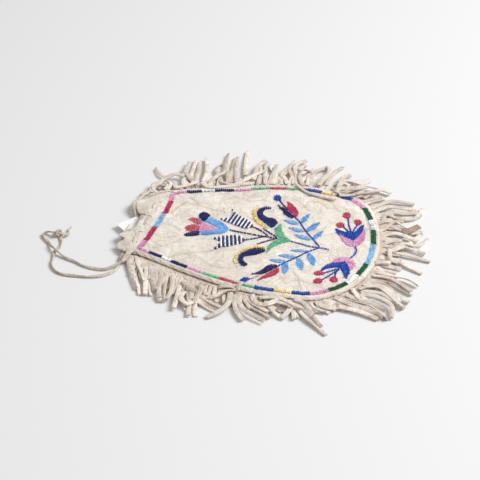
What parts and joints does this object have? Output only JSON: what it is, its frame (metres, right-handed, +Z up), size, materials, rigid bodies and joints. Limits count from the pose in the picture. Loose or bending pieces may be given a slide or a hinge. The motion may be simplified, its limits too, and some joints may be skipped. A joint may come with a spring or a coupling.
{
  "type": "beaded medicine bag",
  "caption": "Flat hide drawstring pouch with a fringed seam, a bead lane round its edge and a spray of bead flowers on its front.",
  "frame": {"origin": "middle of the floor print of the pouch and its fringe, on the surface it lies on", "axes": "+X from the mouth toward the rounded foot, +Z up out of the beaded front, +Y to the left when looking from the mouth toward the foot"},
  "size_m": [0.3634, 0.2896, 0.0143],
  "materials": {
    "hide_front": "soft matte brain-tanned hide",
    "hide_back": "soft matte brain-tanned hide",
    "hide_fringe": "cut hide strips, matte",
    "hide_thong": "twisted hide thong, matte",
    "card": "plain card, matte",
    "beads_pink": "rows of opaque glass seed beads, glossy",
    "beads_navy": "rows of opaque glass seed beads, glossy",
    "beads_white": "rows of opaque glass seed beads, glossy",
    "beads_green": "rows of opaque glass seed beads, glossy",
    "beads_red": "rows of opaque glass seed beads, glossy",
    "beads_blue": "rows of opaque glass seed beads, glossy",
    "beads_yellow": "rows of opaque glass seed beads, glossy",
    "beads_dark_green": "rows of opaque glass seed beads, glossy",
    "beads_sky": "rows of opaque glass seed beads, glossy",
    "beads_cornflower": "rows of opaque glass seed beads, glossy"
  },
  "bodies": {
    "root": {"back_panel": "hide_back", "beads_bud_petal_far": "beads_red", "beads_bud_petal_near": "beads_red", "beads_bud_sepal_far": "beads_navy", "beads_bud_sepal_near": "beads_navy", "beads_calyx_green": "beads_green", "beads_far_lane_01_navy": "beads_navy", "beads_far_lane_02_white": "beads_white", "beads_far_lane_03_navy": "beads_navy", "beads_far_lane_04_pink": "beads_pink", "beads_far_lane_05_green": "beads_green", "beads_far_lane_06_red": "beads_red", "beads_far_lane_07_green": "beads_green", "beads_far_lane_08_blue": "beads_blue", "beads_far_lane_09_yellow": "beads_yellow", "beads_far_lane_0_pink": "beads_pink", "beads_far_lane_10_blue": "beads_blue", "beads_far_lane_11_pink": "beads_pink", "beads_far_lane_12_dark_green": "beads_dark_green", "beads_far_lane_13_white": "beads_white", "beads_far_lane_14_dark_green": "beads_dark_green", "beads_flower_blue_far": "beads_blue", "beads_flower_blue_near": "beads_blue", "beads_flower_link": "beads_blue", "beads_flower_pink_far": "beads_pink", "beads_flower_pink_near": "beads_pink", "beads_foot_lane_sky": "beads_sky", "beads_hook_far": "beads_navy", "beads_hook_near": "beads_navy", "beads_leaf_sprigs": "beads_cornflower", "beads_mouth_lane_1_red": "beads_red", "beads_mouth_lane_2_sky": "beads_sky", "beads_mouth_lane_3_red": "beads_red", "beads_near_lane_01_navy": "beads_navy", "beads_near_lane_02_white": "beads_white", "beads_near_lane_03_navy": "beads_navy", "beads_near_lane_04_pink": "beads_pink", "beads_near_lane_05_green": "beads_green", "beads_near_lane_06_red": "beads_red", "beads_near_lane_07_green": "beads_green", "beads_near_lane_08_blue": "beads_blue", "beads_near_lane_09_yellow": "beads_yellow", "beads_near_lane_0_pink": "beads_pink", "beads_near_lane_10_blue": "beads_blue", "beads_near_lane_11_pink": "beads_pink", "beads_near_lane_12_dark_green": "beads_dark_green", "beads_near_lane_13_white": "beads_white", "beads_near_lane_14_dark_green": "beads_dark_green", "beads_striped_leaves_and_stems": "beads_navy", "beads_tulip_blue_petals": "beads_cornflower", "beads_tulip_pink_heart": "beads_pink", "beads_tulip_red_petals": "beads_red", "drawstring_laced": "hide_thong", "drawstring_strand_a": "hide_thong", "drawstring_strand_b": "hide_thong", "fringe_far": "hide_fringe", "fringe_foot": "hide_fringe", "fringe_near": "hide_fringe", "front_panel": "hide_front", "paper_card": "card"}
  },
  "joints": []
}
